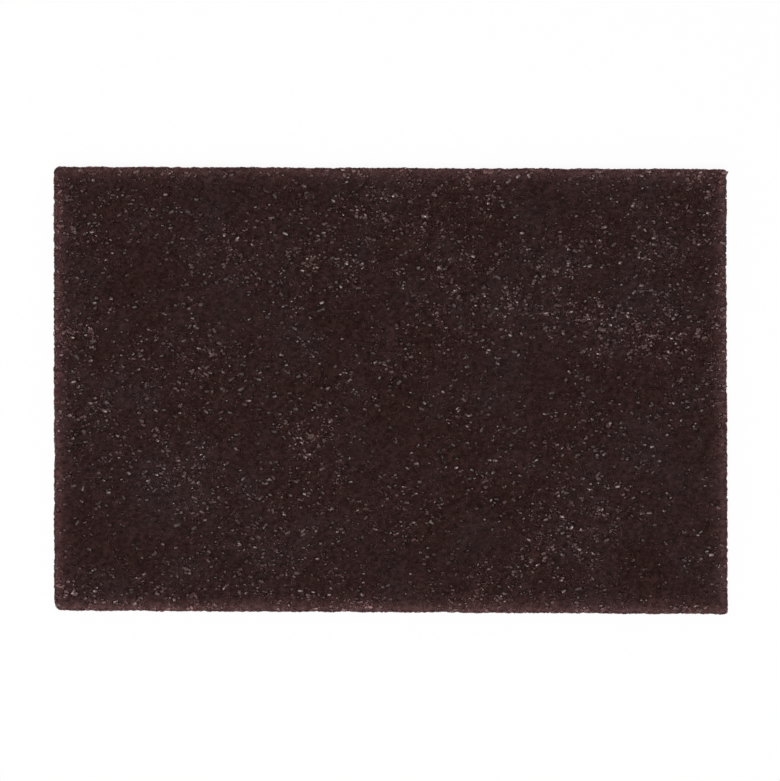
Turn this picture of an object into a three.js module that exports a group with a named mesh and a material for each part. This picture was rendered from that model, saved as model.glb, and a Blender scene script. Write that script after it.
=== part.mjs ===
// Non-woven abrasive hand pad: one rectangular blank cut from a thick web of resin-bonded fibres.
// Millimetres, +Z up. The pad lies flat, with the middle of its underside at the origin,
// its length along X and its width along Y.

import * as THREE from 'three';

// Overall size of the blank, over its furthest corners.
const PAD_LENGTH = 229;
const PAD_WIDTH = 152;
const PAD_THICKNESS = 8;

// How far each edge runs out of square from one end to the other, as the knife left it.
const BACK_EDGE_DROP = 0.9;
const FRONT_EDGE_DROP = 1.3;
const LEFT_EDGE_LEAN = 0.15;
const RIGHT_EDGE_LEAN = 0.5;

// Rounding of each corner: how far it reaches along the X edge and along the Y edge.
const FRONT_LEFT_ROUND_X = 1.7;
const FRONT_LEFT_ROUND_Y = 4.5;
const FRONT_RIGHT_ROUND = 0.8;
const BACK_RIGHT_ROUND = 0.9;
const BACK_LEFT_ROUND = 1.9;
const ROUND_SEGMENTS = 8;

// The faces turn over into the cut edge with this small radius.
const ARRIS_RADIUS = 0.4;
const ARRIS_SEGMENTS = 3;

// Handle length that makes a cubic curve follow a quarter of an ellipse.
const QUARTER_ARC_HANDLE = 0.5523;

const web = new THREE.MeshStandardMaterial({
  color: 0x2e201e,
  roughness: 0.9,
  metalness: 0,
});

// The four corners in counter-clockwise order. The two furthest out, front right and back left,
// stand on the overall size, and the other two are drawn in by the edges that run out of square.
function blankCorners() {
  const right = PAD_LENGTH / 2;
  const back = PAD_WIDTH / 2;
  return [
    {
      point: new THREE.Vector2(-right + LEFT_EDGE_LEAN, -back + FRONT_EDGE_DROP),
      roundBefore: FRONT_LEFT_ROUND_Y,
      roundAfter: FRONT_LEFT_ROUND_X,
    },
    {
      point: new THREE.Vector2(right, -back),
      roundBefore: FRONT_RIGHT_ROUND,
      roundAfter: FRONT_RIGHT_ROUND,
    },
    {
      point: new THREE.Vector2(right - RIGHT_EDGE_LEAN, back - BACK_EDGE_DROP),
      roundBefore: BACK_RIGHT_ROUND,
      roundAfter: BACK_RIGHT_ROUND,
    },
    {
      point: new THREE.Vector2(-right, back),
      roundBefore: BACK_LEFT_ROUND,
      roundAfter: BACK_LEFT_ROUND,
    },
  ];
}

// The point that lies a given distance from one point on the straight line towards another.
function pointTowards(from, to, distance) {
  return to.clone().sub(from).setLength(distance).add(from);
}

// Straight edges joined by quarter-ellipse corners that meet both edges smoothly.
function blankOutline(corners) {
  const outline = new THREE.Shape();
  corners.forEach((corner, index) => {
    const previous = corners.at(index - 1);
    const next = corners[(index + 1) % corners.length];
    const start = pointTowards(corner.point, previous.point, corner.roundBefore);
    const end = pointTowards(corner.point, next.point, corner.roundAfter);
    const startHandle = start.clone().lerp(corner.point, QUARTER_ARC_HANDLE);
    const endHandle = end.clone().lerp(corner.point, QUARTER_ARC_HANDLE);
    if (index === 0) {
      outline.moveTo(start.x, start.y);
    } else {
      outline.lineTo(start.x, start.y);
    }
    outline.bezierCurveTo(startHandle.x, startHandle.y, endHandle.x, endHandle.y, end.x, end.y);
  });
  outline.closePath();
  return outline;
}

// The whole pad is one slab of web: the outline carried up through the thickness,
// with both faces turned over into the cut edge.
function abrasivePad() {
  const slab = new THREE.ExtrudeGeometry(blankOutline(blankCorners()), {
    depth: PAD_THICKNESS - 2 * ARRIS_RADIUS,
    curveSegments: ROUND_SEGMENTS,
    bevelEnabled: true,
    bevelThickness: ARRIS_RADIUS,
    bevelSize: ARRIS_RADIUS,
    bevelOffset: -ARRIS_RADIUS,
    bevelSegments: ARRIS_SEGMENTS,
  });
  const pad = new THREE.Mesh(slab, web);
  pad.name = 'abrasive_pad';
  pad.position.z = ARRIS_RADIUS;
  return pad;
}

const part = new THREE.Group();
part.add(abrasivePad());

export default part;
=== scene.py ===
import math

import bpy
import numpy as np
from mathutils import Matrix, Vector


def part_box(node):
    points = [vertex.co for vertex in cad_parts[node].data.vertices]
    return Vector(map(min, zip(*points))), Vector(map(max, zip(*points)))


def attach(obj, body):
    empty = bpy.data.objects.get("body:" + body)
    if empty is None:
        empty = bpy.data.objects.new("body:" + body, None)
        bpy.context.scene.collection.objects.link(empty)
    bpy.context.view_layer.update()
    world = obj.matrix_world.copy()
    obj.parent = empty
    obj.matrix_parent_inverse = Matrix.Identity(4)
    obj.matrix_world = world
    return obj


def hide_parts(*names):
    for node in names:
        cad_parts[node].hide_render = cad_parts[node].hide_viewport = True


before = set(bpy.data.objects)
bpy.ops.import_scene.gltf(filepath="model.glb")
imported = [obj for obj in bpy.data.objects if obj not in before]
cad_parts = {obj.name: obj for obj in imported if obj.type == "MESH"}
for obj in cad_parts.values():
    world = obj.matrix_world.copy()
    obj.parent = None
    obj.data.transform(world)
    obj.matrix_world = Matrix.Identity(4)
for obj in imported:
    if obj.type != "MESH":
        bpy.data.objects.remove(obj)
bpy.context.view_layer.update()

# Non-woven abrasive hand pad: a slab of tangled nylon fibres, bonded by resin that holds abrasive grain,
# cut to a rectangle with a knife.
# Lengths are in millimetres, with +X along the pad, +Y across it towards the back and +Z up.
# They are turned to metres when a mesh is made. The paper and the softbox are placed in metres.

MM = 0.001
PAD_NODE = "abrasive_pad"
UPWARD = (0.0, 0.0, 1.0)
SQUARE = np.array([(-1, -1), (1, -1), (1, 1), (-1, 1)])

# The wall of the CAD slab is its points nearest to its middle level, within a slack.
# Two of them that agree to so many decimals of a millimetre are one point of the outline.
WALL_SLACK = 0.01
WALL_DECIMALS = 3

# Seeds of the random numbers. Fibres and beads share one, so the order they are made in matters.
LUMP_SEED, WANDER_SEED, CORE_SEED, TONE_SEED, FIBRE_SEED, PATCH_SEED = range(20, 26)

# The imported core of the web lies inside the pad's own surface. Loose fibres fill the space between.
CORE_DEPTH = 0.75
UNDER_DEPTH = 0.3
CORE_INSET = 0.02
CORE_GRID = 1.4
CORE_RINGS = 12
CORE_SHOULDER = 0.4
CORE_SQUARENESS = 6
CORE_JITTER = 0.14
WALL_JITTER = 0.08

# Soft lumps of the web on its faces, and the wander of the knife along the cut edge.
LUMP_LENGTHS = (2.2, 9.0)
LUMP_HEIGHT = 0.13
WANDER_LENGTHS = (1.5, 30.0)
WANDER = 0.07
WAVES = 40

# The faces roll over towards the cut edge. Their slope is measured over a small step.
ROLL_WIDTH = 0.9
ROLL_DROP = 0.3
SLOPE_STEP = 0.05

# A real fibre is 0.05 to 0.1 mm thick, too fine to show, so it is drawn about three times as thick.
# Its stations run from -1 at one end to 1 at the other, and its ends dip into the core.
FIBRE_RADIUS = (0.1, 0.18)
FIBRE_STATIONS = np.array([-1.0, -0.62, 0.0, 0.62, 1.0])
FIBRE_SIDES = 3
FIBRE_BEND = 0.5
FIBRE_KINK = 0.15
FIBRE_TWIST = 0.5
END_SINK = 0.35
END_SHARPNESS = 8

# A tone goes from 0, dark and dull, to 1, pale and shiny, and stays at the nearest of them beyond.
# That of a fibre is random, and higher where the resin glints.
# There a higher tone makes it glossier, and its paler colour there is painted sheen.
FIBRE_TONE = (-0.2, 0.55)
FIBRE_PATCH_GLOSS_AND_SHEEN = 2.2

# How far inside the knife's cut a fibre is drawn back to, and how high over the bench it stays.
CUT_SPREAD = (-0.25, 0.3)
BENCH_CLEARANCE = 0.19

# Layers of fibre on the faces: how many, how long, how high over the core and how far they arch up.
# The upper face has three dull layers and one of glazed fibres, and the underside one of each.
UPPER_FIBRES = {"count": 7500, "length": (1.5, 4.0), "layer": (-0.1, 0.35), "arch": (0.05, 0.3)}
UPPER_LAYERS = "abc"
GLAZED_FIBRES = {"count": 5200, "length": (0.8, 2.2), "layer": (0.1, 0.45), "arch": (0.05, 0.3)}
UNDER_FIBRES = {"count": 4500, "length": (2.0, 5.0), "layer": (-0.1, 0.35), "arch": (0.05, 0.3)}
UNDER_GLAZED_FIBRES = {"count": 1200, "length": (0.8, 2.2), "layer": (0.1, 0.45), "arch": (0.05, 0.3)}

# Fibres in the cut edge: how many, how long, how far off level and how far they bulge out.
# They keep clear of both faces, and sink in near them.
EDGE_FIBRES = 5500
EDGE_GLAZED_FIBRES = 900
EDGE_LENGTH = (1.2, 3.2)
EDGE_SLOPE = 0.45
EDGE_CRIMP = 0.12
EDGE_BULGE = (0.0, 0.3)
EDGE_MARGIN = 0.2
EDGE_TOP_CLEARANCE = 0.1
ARRIS_SINK = 0.3
ARRIS_REACH = 0.4

# One loose fibre that stands out of the left edge.
STRAY_FIBRE = np.array([
    (-113.6, 59.3, 7.0),
    (-114.3, 59.5, 7.3),
    (-114.8, 59.6, 7.4),
    (-115.1, 59.7, 7.4),
    (-115.5, 59.7, 7.3),
])

# Grains of abrasive in beads of resin, drawn two to three times as large as the real 0.1 to 0.3 mm.
# The dome, the collar and the root are multiples of a bead's size.
RESIN_BEADS = {"count": 4000, "radius": (0.13, 0.41), "stretch": (1.1, 1.9)}
GRAIN_GLINTS = {"count": 2350, "radius": (0.18, 0.43), "stretch": (1.2, 2.2)}
BEAD_SIDES = len(SQUARE)
BEAD_WIDTH = (0.8, 1.1)
BEAD_RAGGED = (0.75, 1.1)
BEAD_DOME = 0.42
BEAD_COLLAR = 1.9
COLLAR_DROP = 1.5
BEAD_ROOT = 2.1
BEAD_HEADING = 0.5
BEAD_TILT = 0.2
BEAD_LAYER = (0.35, 0.7)
BEAD_TONE = (0.1, 0.5)
# Where the resin glints a bead's tone rises: it is glossier, and its paler colour is painted sheen.
BEAD_PATCH_GLOSS_AND_SHEEN = 1.3
BEAD_MARGIN = 0.5
BEAD_SPACING = (1.2, 0.7)

# Random places that are tried for each one wanted on a face.
TRIES_FOR_EACH = 24

# Patches where the resin glints more than elsewhere, or less: place, reach and strength.
GLINT_PATCHES = np.array([
    (-112, 56, 8, 1.0), (-98, 48, 7, 0.8), (-57, 53, 8, 1.0), (-51, 45, 6, 1.6), (-29, 44, 7, 1.4),
    (-17, 38, 6, 1.0), (-5, 62, 8, 1.6), (13, 56, 8, 1.0), (30, 69, 6, 1.8), (27, 43, 7, 1.2),
    (39, 29, 7, 1.8), (16, 28, 10, 0.6), (61, 27, 9, 1.6), (75, 20, 9, 1.6), (89, 20, 8, 2.0),
    (58, 47, 9, 1.0), (93, 52, 11, 1.4), (106, 72, 7, 1.8), (107, 14, 11, 1.0), (-107, 18, 8, 1.4),
    (-68, 10, 10, 1.4), (-97, -7, 9, 0.6), (-72, -22, 9, 1.0), (-67, -34, 9, 1.4), (-28, -17, 8, 2.0),
    (4, -43, 9, 0.8), (70, -10, 10, 0.6), (66, -45, 11, 1.2), (49, -56, 7, 1.2), (-40, -54, 12, 0.8),
    (-104, -69, 8, 1.0), (-75, -69, 9, 1.0), (-12, -71, 8, 1.6), (31, -68, 8, 1.6),
    (-55, 68, 12, -1.0), (-88, 38, 11, -1.0), (-53, 27, 10, -1.0), (-18, 20, 8, -1.0), (0, 29, 6, -1.0),
    (52, 63, 10, -1.0), (47, 3, 13, -1.2), (79, -2, 9, -1.0), (104, -30, 16, -1.0), (89, -58, 11, -1.0),
    (29, -49, 10, -1.2), (0, -60, 12, -1.2), (2, -16, 12, -1.0), (-49, -15, 11, -1.2),
    (-80, -48, 10, -1.0), (-106, -50, 12, -1.2),
])

# The ground and the patches add up to a strength in this range, and waves make it uneven.
GLINT_RANGE = (0.3, 3.0)
GLINT_UNEVEN = 0.5
UNEVEN_MOST = 2.0
GLINT_LENGTHS = (4.0, 16.0)

# The web's colour is paler and pinker near the cut edge, as painted light that comes in from the side.
# The arris itself has painted shade. The front edge, towards the softbox, has the most painted light.
PAINTED_EDGE_LIGHT_COLOUR = "#986f6f"
PALE_EDGE = 1.8
PALE_WALL = 1.6
WALL_SHARE = 0.3
OTHER_EDGES = 0.8
ARRIS_PAINTED_SHADE = 0.4
ARRIS_WIDTH = 0.35

# Resin that drifts between three browns, the second darker and the third paler than the first.
# Painted shade darkens it in pits a few fibres wide, and painted light brightens the knots between them.
# The turns are the noise's fourth coordinate, one for each drift.
FIRST_RESIN = "#422d2b"
OTHER_RESINS = ("#3e2a27", "#443231")
DRIFT_LENGTH = 17.0
DRIFT_DETAIL = 4.0
DRIFT_TURNS = (83.0, 61.0)
DRIFT_RANGE = (0.45, 0.65)
PIT_LENGTH = 1.2
PIT_STRETCH = (0.7, 1.0, 1.0)
PIT_RANGE = (0.3, 0.7)
PIT_DETAIL = 1.0
PIT_DEPTH = 0.3
GLINT_TINT = "#ffeeea"
WHITE = "#ffffff"

# Sockets of a Mix node for its two colours and for the mixed one.
MIX_FIRST, MIX_SECOND, MIX_RESULT = 6, 7, 2

# Layout of the maps that colours are baked to.
MAP_MARGIN = 0.1
CORE_FACE_MAP = 0.75
CORE_MAP_GAP = 0.01
BEAD_TOP_MAP = 0.7

# White paper, a pale room and a softbox over the pad, a little towards the front and the left.
PAPER = "#f9f9f9"
PAPER_GLOW = 0.94
PAPER_REACH = 6.0
PAPER_LEVEL = -0.0001
ROOM_LIGHT = 0.4
SOFTBOX_PLACE = (-0.1, -0.25, 1.2)
SOFTBOX_SIZE = 0.3
SOFTBOX_POWER = 9.2

# The camera looks straight down from far away, and its view is as high as the photo.
PHOTO_HEIGHT = 781
MM_PER_PIXEL = 0.34006
CAMERA_PLACE = (-0.235, -0.03)
LENS = 135.0
SENSOR = 36.0


def linear(hex_colour):
    """An sRGB hex colour as linear red, green, blue and full alpha, by the sRGB standard's formula."""
    srgb = np.array([int(hex_colour[i:i + 2], 16) for i in (1, 3, 5)]) / 255
    low = srgb / 12.92
    high = ((srgb + 0.055) / 1.055) ** 2.4
    return (*np.where(srgb <= 0.04045, low, high), 1.0)


def add_node(tree, kind, inputs=None, **settings):
    """Add a node with its settings, and give each input a value or a link from another node."""
    node = tree.nodes.new(kind)
    for name, value in settings.items():
        setattr(node, name, value)
    for name, value in (inputs or {}).items():
        if isinstance(value, bpy.types.NodeSocket):
            tree.links.new(value, node.inputs[name])
        else:
            node.inputs[name].default_value = value
    return node


def cut_outline():
    """Corner points of the cut edge seen from above, counter-clockwise.

    They are the points of the CAD slab's upright wall, put in order of their angle about the middle.
    """
    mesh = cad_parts[PAD_NODE].data
    points = np.empty(len(mesh.vertices) * 3)
    mesh.vertices.foreach_get("co", points)
    points = points.reshape(-1, 3) / MM
    from_middle = np.abs(points[:, 2] - points[:, 2].mean())
    wall = points[from_middle < from_middle.min() + WALL_SLACK, :2]
    wall = np.unique(wall.round(WALL_DECIMALS), axis=0)
    return wall[np.argsort(np.arctan2(wall[:, 1], wall[:, 0]))]


OUTLINE = cut_outline()
SIDES = np.roll(OUTLINE, -1, axis=0) - OUTLINE
SIDE_LENGTHS = np.linalg.norm(SIDES, axis=1)
PERIMETER = SIDE_LENGTHS.sum()
WALKED = np.concatenate([[0], np.cumsum(SIDE_LENGTHS)]) / PERIMETER
LOW, HIGH = (np.array(corner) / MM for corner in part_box(PAD_NODE))
SIZE = HIGH - LOW


def along_outline(share):
    """Places on the outline at shares of its length, counted from its first point."""
    closed = np.vstack([OUTLINE, OUTLINE[:1]])
    return np.stack([np.interp(np.asarray(share) % 1, WALKED, closed[:, axis]) for axis in (0, 1)], -1)


def inset(places):
    """How far each place lies inside the cut edge, and the way straight in from there.

    The outline is convex, so the distance is the least of the distances to the lines of its sides.
    """
    inward = np.stack([-SIDES[:, 1], SIDES[:, 0]], 1) / SIDE_LENGTHS[:, None]
    distance = places @ inward.T - (OUTLINE * inward).sum(1)
    return distance.min(-1), inward[distance.argmin(-1)]


def rolling(places, lengths, seed):
    """Rolling waves of unit strength: a sum of plane waves of random direction, length and phase."""
    rng = np.random.default_rng(seed)
    direction = rng.normal(size=(WAVES, 2))
    direction /= np.linalg.norm(direction, axis=1)[:, None]
    length = np.exp(rng.uniform(*np.log(lengths), WAVES))
    phase = rng.uniform(0, math.tau, WAVES)
    turns = places @ (direction / length[:, None]).T
    return np.cos(math.tau * turns + phase).sum(-1) * math.sqrt(2 / WAVES)


def face_height(places):
    """Height of the core above its own level: soft lumps, less the roll-over at the cut edge."""
    depth, _ = inset(places)
    lumps = LUMP_HEIGHT * rolling(places, LUMP_LENGTHS, LUMP_SEED)
    return lumps - ROLL_DROP * np.exp(-np.clip(depth, 0, None) / ROLL_WIDTH)


def face_slope(places):
    """Slope of the face along X and Y, from its height a small step to either side."""
    steps = SLOPE_STEP * np.eye(2)
    rises = [face_height(places + step) - face_height(places - step) for step in steps]
    return np.stack(rises, -1) / (2 * SLOPE_STEP)


def wander(places):
    """How far the knife wandered outwards at each place along the cut edge."""
    return WANDER * rolling(places, WANDER_LENGTHS, WANDER_SEED)


def edge_light_share(vertices):
    """Share of the painted edge light, a paler colour that fades inwards and down the wall.

    It is a product: an exponential fall inwards, one that leaves a rest in the middle of the wall, a dip
    of painted shade at the arris, and a factor for the nearest side, which is 1 at the front, towards
    the softbox, and less elsewhere.
    """
    depth, inward = inset(vertices[:, :2])
    depth = np.clip(depth, 0, None)
    # Painted light: strongest on the front edge, which faces the softbox.
    front = np.clip(inward[:, 1], 0, None)
    side = OTHER_EDGES + (1 - OTHER_EDGES) * front
    below = np.clip(np.minimum(HIGH[2] - vertices[:, 2], vertices[:, 2] - LOW[2]), 0, None)
    wall = WALL_SHARE + (1 - WALL_SHARE) * np.exp(-below / PALE_WALL)
    # Painted shade: darker right at the arris.
    arris = 1 - ARRIS_PAINTED_SHADE * np.exp(-depth / ARRIS_WIDTH)
    return np.exp(-depth / PALE_EDGE) * wall * arris * side


def glint_share(places):
    """How much the resin glints at each place, from 0 to 1.

    An even ground with soft round patches, each a Gaussian of its distance, all made uneven by waves.
    """
    apart = np.linalg.norm(places[:, None] - GLINT_PATCHES[:, :2], axis=2)
    patches = GLINT_PATCHES[:, 3] * np.exp(-(apart / GLINT_PATCHES[:, 2]) ** 2)
    uneven = 1 + GLINT_UNEVEN * rolling(places, GLINT_LENGTHS, PATCH_SEED)
    uneven = np.clip(uneven, 0, UNEVEN_MOST)
    return np.clip(1 + patches.sum(1), *GLINT_RANGE) / GLINT_RANGE[1] * uneven / UNEVEN_MOST


def scatter(count, rng, share=None, margin=0.0, spacing=None):
    """Random places on the pad's face, at least margin inside the cut edge.

    share is the chance that a place is kept. With spacing, each rectangle of that size keeps one
    at most.
    """
    places = rng.uniform(LOW[:2], HIGH[:2], (TRIES_FOR_EACH * count, 2))
    places = places[inset(places)[0] > margin]
    if share:
        places = places[rng.uniform(0, 1, len(places)) < share(places)]
    if spacing:
        rectangles = np.floor(places / spacing)
        _, first = np.unique(rectangles, axis=0, return_index=True)
        places = places[np.sort(first)]
    return places[:count]


def new_piece(name, vertices, faces, maps, material, tone, rim=None):
    """A mesh object in metres that rides on the pad, with its map for baking and its attributes.

    faces is a list of index arrays, one for each number of corners, and maps the map places of their
    corners in the same order. An edge between two vertices of the rim is sharp.
    """
    mesh = bpy.data.meshes.new(name)
    mesh.vertices.add(len(vertices))
    mesh.vertices.foreach_set("co", (vertices * MM).astype(np.float32).ravel())
    corners = np.concatenate([part.ravel() for part in faces])
    sizes = np.concatenate([np.full(len(part), part.shape[1]) for part in faces])
    mesh.loops.add(len(corners))
    mesh.loops.foreach_set("vertex_index", corners.astype(np.int32))
    mesh.polygons.add(len(sizes))
    mesh.polygons.foreach_set("loop_start", (np.cumsum(sizes) - sizes).astype(np.int32))
    layer = mesh.uv_layers.new(name="OFBake")
    layer.data.foreach_set("uv", np.concatenate([part.ravel() for part in maps]).astype(np.float32))
    # Each vertex gets its tone and its share of painted edge light.
    for key, values in (("tone", tone), ("painted_edge_light", edge_light_share(vertices))):
        attribute = mesh.attributes.new(key, "FLOAT", "POINT")
        attribute.data.foreach_set("value", values.astype(np.float32).ravel())
    mesh.update(calc_edges=True)
    if rim is not None:
        ends = np.empty(2 * len(mesh.edges), np.int32)
        mesh.edges.foreach_get("vertices", ends)
        mesh.edges.foreach_set("use_edge_sharp", rim[ends].reshape(-1, 2).all(1))
    mesh.materials.append(material)
    piece = bpy.data.objects.new(name, mesh)
    bpy.context.scene.collection.objects.link(piece)
    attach(piece, "root")
    return piece


def face_patch(columns, rows):
    """Places over the whole face of the pad, in columns and rows that follow the cut edge.

    A Coons patch: the sum of the two surfaces ruled between opposite edges of the outline, less the
    one ruled between its four corners.
    """
    places = [LOW[:2], (HIGH[0], LOW[1]), HIGH[:2], (LOW[0], HIGH[1])]
    shares = [WALKED[np.linalg.norm(OUTLINE - place, axis=1).argmin()] for place in places]
    front_left, front_right, back_right, back_left = np.unwrap(shares, period=1.0)
    front = along_outline(np.linspace(front_left, front_right, columns + 1))[:, None]
    right = along_outline(np.linspace(front_right, back_right, rows + 1))[None]
    back = along_outline(np.linspace(back_left, back_right, columns + 1))[:, None]
    left = along_outline(np.linspace(front_left + 1, back_left, rows + 1))[None]
    u = np.linspace(0, 1, columns + 1)[:, None, None]
    v = np.linspace(0, 1, rows + 1)[None, :, None]
    front_to_back = (1 - v) * front + v * back
    left_to_right = (1 - u) * left + u * right
    corners = (1 - v) * ((1 - u) * front[0] + u * front[-1]) + v * ((1 - u) * back[0] + u * back[-1])
    return (front_to_back + left_to_right - corners).reshape(-1, 2)


def core_mesh():
    """The closed core of the web: two lumpy faces, and a wall of rings between their rims.

    The wall runs from the rim of one face out to the cut edge and back to the other, along a curve of
    high power, so that its section is a rectangle with rounded corners.
    """
    columns, rows = (int(size // CORE_GRID) for size in SIZE[:2])
    patch = face_patch(columns, rows)
    index = np.arange(len(patch)).reshape(columns + 1, rows + 1)
    quads = np.stack([index[:-1, :-1], index[1:, :-1], index[1:, 1:], index[:-1, 1:]], -1).reshape(-1, 4)
    rim = np.concatenate([index[:-1, 0], index[-1, :-1], index[:0:-1, -1], index[0, :0:-1]])

    rng = np.random.default_rng(CORE_SEED)
    face = patch * (1 - 2 * (CORE_INSET + CORE_SHOULDER) / SIZE[:2])
    upper_height = face_height(face) + rng.normal(0, CORE_JITTER, len(face))
    lower_height = face_height(-face) + rng.normal(0, CORE_JITTER, len(face))
    upper = np.column_stack([face, HIGH[2] - CORE_DEPTH + upper_height])
    lower = np.column_stack([face, LOW[2] + UNDER_DEPTH - np.minimum(lower_height, UNDER_DEPTH)])

    level = np.linspace(0, 1, CORE_RINGS + 2)[1:-1, None, None]
    outwards = 1 - np.abs(2 * level - 1) ** CORE_SQUARENESS
    wall = upper[rim] * (1 - level) + lower[rim] * level
    edge = patch[rim] * (1 - 2 * CORE_INSET / SIZE[:2])
    wall[..., :2] += outwards * (edge - face[rim])
    _, inward = inset(patch[rim])
    push = wander(patch[rim]) + rng.normal(0, WALL_JITTER, (CORE_RINGS, len(rim)))
    wall[..., :2] -= inward * push[..., None]
    vertices = np.vstack([upper, lower, wall.reshape(-1, 3)])

    rings = 2 * len(face) + np.arange(CORE_RINGS * len(rim)).reshape(CORE_RINGS, -1)
    rings = np.vstack([rim, rings, len(face) + rim])
    ahead = np.roll(rings, -1, axis=1)
    wall_quads = np.stack([rings[:-1], rings[1:], ahead[1:], ahead[:-1]], -1).reshape(-1, 4)
    faces = np.vstack([quads, quads[:, ::-1] + len(face), wall_quads])
    return vertices, [faces], [core_map(patch[quads], len(rim))]


def core_map(face_corners, around):
    """Map places of the core: its two faces one over the other, and its wall as a strip beside them."""
    on_face = (face_corners - LOW[:2]) / SIZE[:2] * [CORE_FACE_MAP, CORE_FACE_MAP / 2]
    upper = on_face + [0, CORE_FACE_MAP / 2]
    lower = on_face[:, ::-1]
    ring, place = np.mgrid[0:CORE_RINGS + 1, 0:around]
    steps = ((0, 0), (1, 0), (1, 1), (0, 1))
    strip = np.stack([np.stack([ring + down, place + along], -1) for down, along in steps], 2)
    strip = strip.reshape(-1, 4, 2) / [CORE_RINGS + 1, around]
    wall = strip * [1 - CORE_FACE_MAP - CORE_MAP_GAP, 1] + [CORE_FACE_MAP + CORE_MAP_GAP, 0]
    return np.vstack([upper, lower, wall])


def fibre_tubes(centreline, outward, radius, roll):
    """Spindles of triangular section along centrelines, closed to a point at both ends.

    centreline holds the stations of each fibre, and outward the way out of the pad there. At each
    station but the two ends, the section's corners lie at equal angles about the centreline.
    """
    count, stations, _ = centreline.shape
    tangent = np.gradient(centreline, axis=1)
    tangent /= np.linalg.norm(tangent, axis=2, keepdims=True)
    aside = np.cross(np.broadcast_to(outward[:, None], tangent.shape), tangent)
    aside /= np.linalg.norm(aside, axis=2, keepdims=True)
    upward = np.cross(tangent, aside)
    turn = roll[..., None] + np.arange(FIBRE_SIDES) * math.tau / FIBRE_SIDES
    middle = slice(1, stations - 1)
    around = np.cos(turn)[..., None] * aside[:, middle, None]
    around = around + np.sin(turn)[..., None] * upward[:, middle, None]
    sections = centreline[:, middle, None] + radius[:, None, None, None] * around
    vertices = np.concatenate([sections.reshape(count, -1, 3), centreline[:, [0, -1]]], axis=1)

    each = vertices.shape[1]
    first = each * np.arange(count)[:, None, None]
    rings = np.arange((stations - 2) * FIBRE_SIDES).reshape(-1, FIBRE_SIDES)
    ahead = np.roll(rings, -1, axis=1)
    quads = np.stack([rings[:-1], ahead[:-1], ahead[1:], rings[1:]], -1).reshape(-1, 4)
    start, end = np.full(FIBRE_SIDES, each - 2), np.full(FIBRE_SIDES, each - 1)
    points = np.vstack([
        np.stack([start, ahead[0], rings[0]], -1),
        np.stack([rings[-1], ahead[-1], end], -1),
    ])
    faces = [(first + part).reshape(-1, part.shape[1]) for part in (quads, points)]
    return vertices.reshape(-1, 3), faces, fibre_maps(count)


def map_cells(count, corners):
    """Lays each thing's corner places, from 0 to 1, in a cell of its own on one square map."""
    across = math.ceil(math.sqrt(count))
    cell = np.arange(count)
    origin = np.stack([cell % across, cell // across], -1)[:, None, None]
    return (origin + MAP_MARGIN + corners * (1 - 2 * MAP_MARGIN)) / across


def fibre_maps(count):
    """Each fibre's strip of the map, which its sides share because they have the same colour."""
    along = (FIBRE_STATIONS + 1) / 2
    pairs = zip(along[1:-2], along[2:-1])
    quads = [[(here, 0), (here, 1), (there, 1), (there, 0)] for here, there in pairs]
    points = [[(0, 0.5), (along[1], 1), (along[1], 0)], [(along[-2], 0), (along[-2], 1), (1, 0.5)]]
    return [map_cells(count, np.repeat(part, FIBRE_SIDES, axis=0)) for part in (quads, points)]


def face_fibres(places, rng, length, layer, arch, side):
    """Fibres lying on a face: arcs with a kink, arched up in the middle, their ends sunk in the core.

    side is 1 on the upper face and -1 on the underside. Points past the knife's cut are drawn back
    to it.
    """
    count = len(places)
    station = FIBRE_STATIONS
    heading = rng.uniform(0, math.pi, count)
    half = rng.uniform(*length, count)[:, None] / 2
    bend = rng.normal(0, FIBRE_BEND, count)[:, None] * (1 - station ** 2)
    kink = rng.normal(0, FIBRE_KINK, (count, len(station)))
    forward = np.stack([np.cos(heading), np.sin(heading)], -1)[:, None]
    sideways = forward[..., ::-1] * [-1, 1]
    flat = places[:, None] + (half * station)[..., None] * forward
    flat += (half * (bend + kink))[..., None] * sideways

    depth, inward = inset(flat)
    least = rng.uniform(*CUT_SPREAD, (count, 1)) - wander(flat)
    flat += np.clip(least - depth, 0, None)[..., None] * inward

    rise = rng.uniform(*layer, count)[:, None] + rng.uniform(*arch, count)[:, None] * (1 - station ** 2)
    height = face_height(side * flat) + rise - END_SINK * np.abs(station) ** END_SHARPNESS
    if side > 0:
        level = HIGH[2] - CORE_DEPTH + height
    else:
        level = np.maximum(LOW[2] + UNDER_DEPTH - height, LOW[2] + BENCH_CLEARANCE)
    outward = np.tile(side * np.array(UPWARD), (count, 1))
    return np.dstack([flat, level]), outward


def edge_fibres(count, rng):
    """Fibres lying in the cut edge, mostly level, bulging out a little, their ends sunk in the core.

    Near the faces they are sunk further in, as the arris is rounded.
    """
    station = FIBRE_STATIONS
    share = rng.uniform(0, 1, count)[:, None]
    half = rng.uniform(*EDGE_LENGTH, count)[:, None] / 2
    slope = rng.normal(0, EDGE_SLOPE, count)[:, None]
    base = along_outline(share + half * station * np.cos(slope) / PERIMETER)
    level = rng.uniform(LOW[2] + EDGE_MARGIN, HIGH[2] - EDGE_MARGIN, count)[:, None]
    level = level + half * station * np.sin(slope) + rng.normal(0, EDGE_CRIMP, (count, len(station)))
    level = np.clip(level, LOW[2] + BENCH_CLEARANCE, HIGH[2] - EDGE_TOP_CLEARANCE)
    from_face = np.minimum(level - LOW[2], HIGH[2] - level)
    _, inward = inset(base)
    bulge = rng.uniform(*EDGE_BULGE, count)[:, None] * (1 - station ** 2)
    sunk = CORE_INSET - wander(base) - bulge
    sunk += END_SINK * np.abs(station) ** END_SHARPNESS + ARRIS_SINK * np.exp(-from_face / ARRIS_REACH)
    flat = base + sunk[..., None] * inward
    outward = np.column_stack([-inward[:, len(station) // 2], np.zeros(count)])
    return np.dstack([flat, level]), outward


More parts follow.
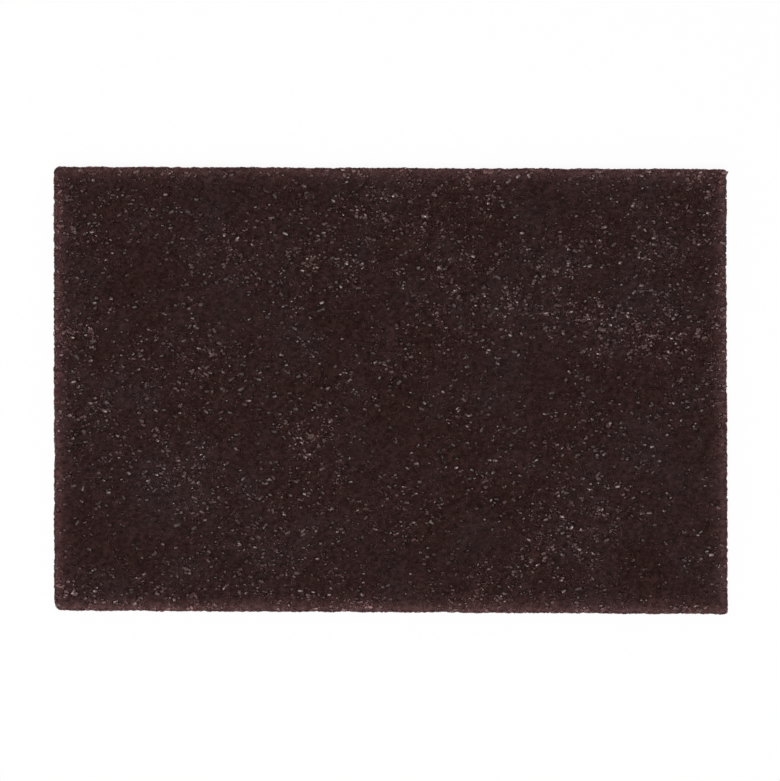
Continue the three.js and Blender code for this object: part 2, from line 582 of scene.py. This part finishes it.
def fibre_piece(name, centreline, outward, rng, material):
    """One layer of fibres as one piece, each fibre with its own thickness, twist and tone."""
    count = len(centreline)
    radius = rng.uniform(*FIBRE_RADIUS, count)
    twist = rng.normal(0, FIBRE_TWIST, (count, len(FIBRE_STATIONS) - 2))
    roll = rng.uniform(0, math.tau, (count, 1)) + twist
    vertices, faces, maps = fibre_tubes(centreline, outward, radius, roll)
    middle = centreline[:, len(FIBRE_STATIONS) // 2, :2]
    # Painted sheen: where the resin glints, a higher tone makes the colour paler as well as glossier.
    tone = rng.uniform(*FIBRE_TONE, count) + FIBRE_PATCH_GLOSS_AND_SHEEN * glint_share(middle)
    tone = np.repeat(tone, len(vertices) // count)
    return new_piece(name, vertices, faces, maps, material, tone)


def face_layer(name, sizes, rng, material, share=None, side=1):
    """One layer of fibres scattered over the upper face, or over the underside where side is -1."""
    places = scatter(sizes["count"], rng, share)
    lying, outward = face_fibres(places, rng, sizes["length"], sizes["layer"], sizes["arch"], side)
    return fibre_piece(name, lying, outward, rng, material)


def bead_mesh(places, rng, radius, stretch):
    """Beads of resin: a softly domed top, a collar that slopes down into the web and a root below.

    A bead is four rim corners, four collar corners, the middle of the dome and the end of the root.
    Each follows the slope of the web where it sits, with a heading and a tilt of its own. Its size goes
    up with the square of a random number, so small beads are the commonest.
    """
    count = len(places)
    rim = np.column_stack([SQUARE, np.zeros(BEAD_SIDES)])
    collar = np.column_stack([BEAD_COLLAR * SQUARE, np.full(BEAD_SIDES, -COLLAR_DROP)])
    corners = np.vstack([rim, collar, [(0, 0, BEAD_DOME), (0, 0, -BEAD_ROOT)]])
    size = radius[0] + (radius[1] - radius[0]) * rng.uniform(0, 1, count) ** 2
    spread = np.column_stack([
        rng.uniform(*stretch, count),
        rng.uniform(*BEAD_WIDTH, count),
        np.ones(count),
    ])
    bead = corners * (size[:, None] * spread)[:, None]
    bead[..., :2] *= rng.uniform(*BEAD_RAGGED, (count, len(corners), 2))

    heading = rng.normal(0, BEAD_HEADING, count)
    ahead = np.stack([np.cos(heading), np.sin(heading), np.zeros(count)], -1)
    lean = rng.normal(0, BEAD_TILT, (count, 2)) - face_slope(places)
    upward = np.column_stack([lean, np.ones(count)])
    upward /= np.linalg.norm(upward, axis=1)[:, None]
    aside = np.cross(upward, ahead)
    aside /= np.linalg.norm(aside, axis=1)[:, None]
    axes = np.stack([np.cross(aside, upward), aside, upward], 1)
    level = HIGH[2] - CORE_DEPTH + face_height(places) + rng.uniform(*BEAD_LAYER, count)
    vertices = bead @ axes + np.column_stack([places, level])[:, None]

    here = np.arange(BEAD_SIDES)
    following = np.roll(here, -1)
    dome_middle = np.full(BEAD_SIDES, 2 * BEAD_SIDES)
    top = np.stack([here, following, dome_middle], -1)
    root = np.stack([BEAD_SIDES + following, BEAD_SIDES + here, dome_middle + 1], -1)
    sides = np.stack([BEAD_SIDES + here, BEAD_SIDES + following, following, here], -1)
    first = len(corners) * np.arange(count)[:, None, None]
    faces = [(first + part).reshape(-1, part.shape[1]) for part in (sides, top, root)]
    from_above = (corners[:, :2] / BEAD_COLLAR + 1) / 2
    shown = from_above * [BEAD_TOP_MAP, 1]
    hidden = from_above * [1 - BEAD_TOP_MAP, 1] + [BEAD_TOP_MAP, 0]
    maps = [map_cells(count, part) for part in (shown[sides], shown[top], hidden[root])]
    return vertices.reshape(-1, 3), faces, maps


def bead_piece(name, rng, material, count, radius, stretch):
    """One piece of beads where the resin glints, each with its own tone, painted collar shade and sharp
    rim.
    """
    places = scatter(count, rng, glint_share, BEAD_MARGIN, BEAD_SPACING)
    vertices, faces, maps = bead_mesh(places, rng, radius, stretch)
    corner = np.arange(len(vertices) // len(places))
    in_rim = corner < BEAD_SIDES
    in_shaded_collar = ~in_rim & (corner < 2 * BEAD_SIDES)
    # Painted sheen: where the resin glints, a higher tone makes the colour paler as well as glossier.
    tone = rng.uniform(*BEAD_TONE, len(places)) + BEAD_PATCH_GLOSS_AND_SHEEN * glint_share(places)
    # Painted shade: the collar is given tone 0, the darkest, where the bead sinks into the web.
    tone = tone[:, None] * ~in_shaded_collar
    return new_piece(name, vertices, faces, maps, material, tone, rim=np.tile(in_rim, len(places)))


def drifting_resin(tree, place, cut):
    """Resin colour that drifts between three browns, made paler at the cut edge by painted light."""
    resin = linear(FIRST_RESIN)
    for other, turn in zip(OTHER_RESINS, DRIFT_TURNS):
        drift = add_node(tree, "ShaderNodeTexNoise", {
            "Vector": place,
            "W": turn,
            "Scale": 1 / (DRIFT_LENGTH * MM),
            "Detail": DRIFT_DETAIL,
        }, noise_dimensions="4D")
        share = add_node(tree, "ShaderNodeMapRange", {
            "Value": drift.outputs["Fac"],
            "From Min": DRIFT_RANGE[0],
            "From Max": DRIFT_RANGE[1],
        })
        mixed = add_node(tree, "ShaderNodeMix", {
            "Factor": share.outputs["Result"],
            MIX_FIRST: resin,
            MIX_SECOND: linear(other),
        }, data_type="RGBA")
        resin = mixed.outputs[MIX_RESULT]
    # Painted light: near the cut edge the colour mixes towards the paler, pinker edge colour.
    edge_lit = add_node(tree, "ShaderNodeMix", {
        "Factor": cut,
        MIX_FIRST: resin,
        MIX_SECOND: linear(PAINTED_EDGE_LIGHT_COLOUR),
    }, data_type="RGBA")
    return edge_lit.outputs[MIX_RESULT]


def pit_shade(tree, place):
    """Colour level: painted shade in the pits between fibres, painted light on the knots they form."""
    along = add_node(tree, "ShaderNodeVectorMath", {0: place, 1: PIT_STRETCH}, operation="MULTIPLY")
    pits = add_node(tree, "ShaderNodeTexNoise", {
        "Vector": along.outputs[0],
        "Scale": 1 / (PIT_LENGTH * MM),
        "Detail": PIT_DETAIL,
    })
    shade = add_node(tree, "ShaderNodeMapRange", {
        "Value": pits.outputs["Fac"],
        "From Min": PIT_RANGE[0],
        "From Max": PIT_RANGE[1],
        "To Min": 1 - PIT_DEPTH,
        "To Max": 1 + PIT_DEPTH,
    })
    return shade.outputs["Result"]


def web_material(name, level, contrast, roughness, shine, tint=WHITE):
    """Brown resin on nylon. Each fibre or bead has a tone, from dark and dull to pale and shiny.

    Its colour is the drifting resin's, times a level that follows the tone, times the shade of the pits.
    """
    material = bpy.data.materials.new(name)
    material.use_nodes = True
    tree = material.node_tree
    tree.nodes.clear()
    place = add_node(tree, "ShaderNodeTexCoord").outputs["Object"]
    # Share of painted edge light at each vertex, which pales the colour near the cut edge.
    cut = add_node(tree, "ShaderNodeAttribute", attribute_name="painted_edge_light").outputs["Fac"]
    tone = add_node(tree, "ShaderNodeAttribute", attribute_name="tone").outputs["Fac"]
    toned = add_node(tree, "ShaderNodeMapRange", {
        "Value": tone,
        "To Min": level * (1 - contrast),
        "To Max": level * (1 + contrast),
    })
    shaded = add_node(tree, "ShaderNodeMath", {
        0: toned.outputs["Result"],
        1: pit_shade(tree, place),
    }, operation="MULTIPLY")
    colour = add_node(tree, "ShaderNodeVectorMath", {
        0: drifting_resin(tree, place, cut),
        "Scale": shaded.outputs[0],
    }, operation="SCALE")
    gloss = add_node(tree, "ShaderNodeMapRange", {
        "Value": tone,
        "To Min": roughness[0],
        "To Max": roughness[1],
    })
    shader = add_node(tree, "ShaderNodeBsdfPrincipled", {
        "Base Color": colour.outputs[0],
        "Roughness": gloss.outputs["Result"],
        "Specular IOR Level": shine,
        "Specular Tint": linear(tint),
    })
    add_node(tree, "ShaderNodeOutputMaterial", {"Surface": shader.outputs[0]})
    return material


def bonded_nylon():
    """Nylon fibre coated with cured resin: dull brown, each fibre a little lighter or darker."""
    return web_material(
        "nylon_fibre_resin_bonded",
        level=0.96,
        contrast=0.16,
        roughness=(0.85, 0.65),
        shine=0.06,
    )


def glazed_nylon():
    """Fibre where resin ran thick and dried to a glaze: brown, with a thin line of light along it."""
    return web_material(
        "nylon_fibre_resin_glazed",
        level=1.0,
        contrast=0.3,
        roughness=(0.4, 0.25),
        shine=0.3,
        tint=GLINT_TINT,
    )


def cured_resin():
    """Beads of cured resin: brown, a dim soft highlight, painted shade where they sink into the web."""
    return web_material(
        "resin_beads_cured",
        level=0.7,
        contrast=0.68,
        roughness=(0.55, 0.35),
        shine=0.27,
        tint=GLINT_TINT,
    )


def coated_grain():
    """Abrasive grain in a skin of resin: smooth enough to catch the lamp as a small bright glint."""
    return web_material(
        "abrasive_grain_in_resin",
        level=0.6,
        contrast=0.78,
        roughness=(0.5, 0.29),
        shine=0.56,
        tint=GLINT_TINT,
    )


def shaded_deep_web():
    """The web deeper down, with painted shade from the fibres over it: nearly black between those on
    top.
    """
    return web_material(
        "nylon_web_painted_shade",
        # Painted shade: the deep web is given a dark level.
        level=0.53,
        contrast=0.3,
        roughness=(0.95, 0.85),
        shine=0.02,
    )


def build_pad():
    """The core stands for the CAD slab, and the layers of fibres and beads lie on it."""
    vertices, faces, maps = core_mesh()
    tone = np.random.default_rng(TONE_SEED).uniform(0, 1, len(vertices))
    core = new_piece("web_core", vertices, faces, maps, shaded_deep_web(), tone)
    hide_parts(PAD_NODE)

    rng = np.random.default_rng(FIBRE_SEED)
    bonded, glazed = bonded_nylon(), glazed_nylon()
    for part in UPPER_LAYERS:
        face_layer(f"upper_fibres_{part}", UPPER_FIBRES, rng, bonded)
    face_layer("upper_fibres_glazed", GLAZED_FIBRES, rng, glazed, glint_share)
    face_layer("under_fibres", UNDER_FIBRES, rng, bonded, side=-1)
    lying, outward = edge_fibres(EDGE_FIBRES, rng)
    lying = np.vstack([lying, STRAY_FIBRE[None]])
    outward = np.vstack([outward, UPWARD])
    fibre_piece("edge_fibres", lying, outward, rng, bonded)
    bead_piece("resin_beads", rng, cured_resin(), **RESIN_BEADS)
    bead_piece("grain_glints", rng, coated_grain(), **GRAIN_GLINTS)
    face_layer("under_fibres_glazed", UNDER_GLAZED_FIBRES, rng, glazed, side=-1)
    fibre_piece("edge_fibres_glazed", *edge_fibres(EDGE_GLAZED_FIBRES, rng), rng, glazed)


def seen_as_background(tree, share):
    """The share for rays that see the background, straight or in a reflection, and 0 for others."""
    rays = add_node(tree, "ShaderNodeLightPath").outputs
    seen = rays["Is Camera Ray"]
    for kind in ("Is Glossy Ray", "Is Transmission Ray"):
        seen = add_node(tree, "ShaderNodeMath", {0: seen, 1: rays[kind]}, operation="MAXIMUM").outputs[0]
    return add_node(tree, "ShaderNodeMath", {0: seen, 1: share}, operation="MULTIPLY").outputs[0]


def white_paper():
    """Matt white paper: the camera sees mostly plain white, with a faint shadow of the pad on it."""
    material = bpy.data.materials.new("paper_white_matt")
    material.use_nodes = True
    tree = material.node_tree
    tree.nodes.clear()
    share = seen_as_background(tree, PAPER_GLOW)
    paper = add_node(tree, "ShaderNodeBsdfDiffuse", {"Color": linear(PAPER)}).outputs[0]
    glow = add_node(tree, "ShaderNodeEmission", {"Color": linear(WHITE), "Strength": 1.0}).outputs[0]
    mixed = add_node(tree, "ShaderNodeMixShader", {0: share, 1: paper, 2: glow}).outputs[0]
    add_node(tree, "ShaderNodeOutputMaterial", {"Surface": mixed})
    return material


def build_floor():
    """One large sheet of paper, just under the pad."""
    mesh = bpy.data.meshes.new("floor")
    vertices = np.column_stack([PAPER_REACH * SQUARE, np.full(len(SQUARE), PAPER_LEVEL)])
    mesh.from_pydata(vertices.tolist(), [], [(0, 1, 2, 3)])
    mesh.materials.append(white_paper())
    floor = bpy.data.objects.new("floor", mesh)
    bpy.context.scene.collection.objects.link(floor)


def build_light():
    """A pale room, seen as white, and a softbox. Together they light the pad at level 1."""
    world = bpy.data.worlds.new("studio")
    bpy.context.scene.world = world
    world.use_nodes = True
    tree = world.node_tree
    tree.nodes.clear()
    seen = seen_as_background(tree, 1.0)
    room = add_node(tree, "ShaderNodeBackground", {"Color": linear(WHITE), "Strength": ROOM_LIGHT})
    white = add_node(tree, "ShaderNodeBackground", {"Color": linear(WHITE), "Strength": 1.0})
    mixed = add_node(tree, "ShaderNodeMixShader", {0: seen, 1: room.outputs[0], 2: white.outputs[0]})
    add_node(tree, "ShaderNodeOutputWorld", {"Surface": mixed.outputs[0]})

    lamp = bpy.data.lights.new("softbox", "AREA")
    lamp.size = SOFTBOX_SIZE
    lamp.energy = SOFTBOX_POWER
    softbox = bpy.data.objects.new("softbox", lamp)
    softbox.location = SOFTBOX_PLACE
    softbox.rotation_euler = Vector(SOFTBOX_PLACE).to_track_quat("Z", "Y").to_euler()
    bpy.context.scene.collection.objects.link(softbox)


def build_camera():
    """The lens sees the photo's height at the level of the pad's upper face."""
    data = bpy.data.cameras.new("camera")
    data.lens = LENS
    data.sensor_width = SENSOR
    camera = bpy.data.objects.new("camera", data)
    distance = PHOTO_HEIGHT * MM_PER_PIXEL * LENS / SENSOR
    camera.location = np.array([*CAMERA_PLACE, HIGH[2] + distance]) * MM
    bpy.context.scene.collection.objects.link(camera)
    bpy.context.scene.camera = camera


build_pad()
build_floor()
build_light()
build_camera()
bpy.context.scene.view_settings.view_transform = "Standard"
